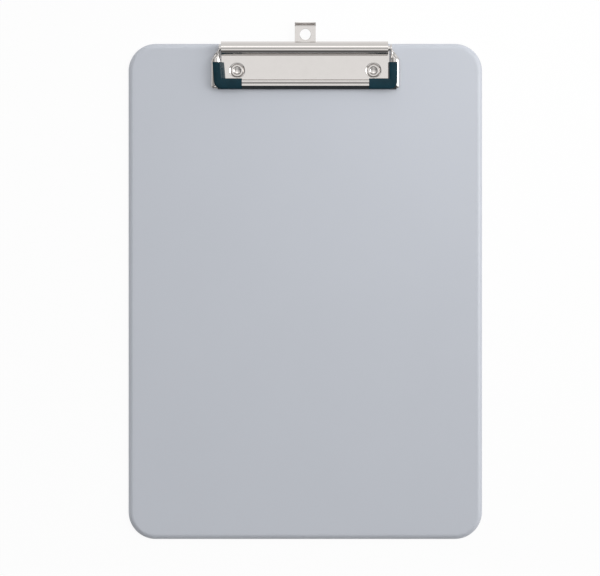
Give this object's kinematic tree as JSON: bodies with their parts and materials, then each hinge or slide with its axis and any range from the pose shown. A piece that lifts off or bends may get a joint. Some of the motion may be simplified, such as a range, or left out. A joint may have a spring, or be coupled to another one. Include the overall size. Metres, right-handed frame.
{
  "type": "clipboard with sprung clip",
  "caption": "Flat A4 clipboard: moulded grey board, low nickel-plated sprung clip with black corner grips, and a pull-out hanging eye.",
  "frame": {"origin": "centre of the board's flat back, on which it lies", "axes": "+X to the right across the board, +Y along the board towards the clip, +Z out of the writing face"},
  "size_m": [0.227, 0.3314, 0.0121],
  "materials": {
    "board_plastic": "moulded, satin",
    "nickel_plate": "nickel-plated, bright",
    "spring_steel": "drawn spring wire",
    "grip_plastic": "moulded, soft gloss",
    "jaw_rubber": "matte"
  },
  "bodies": {
    "base": {"board": "board_plastic", "base_plate": "nickel_plate", "rivet_left": "nickel_plate", "rivet_right": "nickel_plate", "torsion_spring_left": "spring_steel", "torsion_spring_right": "spring_steel"},
    "clamp": {"bail": "nickel_plate", "hinge_pin": "nickel_plate", "corner_grip_left": "grip_plastic", "corner_grip_right": "grip_plastic", "jaw_strip": "jaw_rubber"},
    "eye": {"hanging_eye": "nickel_plate"}
  },
  "joints": [
    {"name": "bail_hinge", "type": "hinge", "parent": "base", "child": "clamp", "pos_m": [0, 0.1556, 0.0078], "axis": [-1, 0, 0], "range_deg": [0, 80], "stiffness_Nm_per_rad": 0.18, "springref_deg": -80.21, "deforming": ["torsion_spring_left", "torsion_spring_right"]},
    {"name": "eye_slide", "type": "slide", "parent": "base", "child": "eye", "axis": [0, 1, 0], "range_m": [-0.011, 0]}
  ]
}
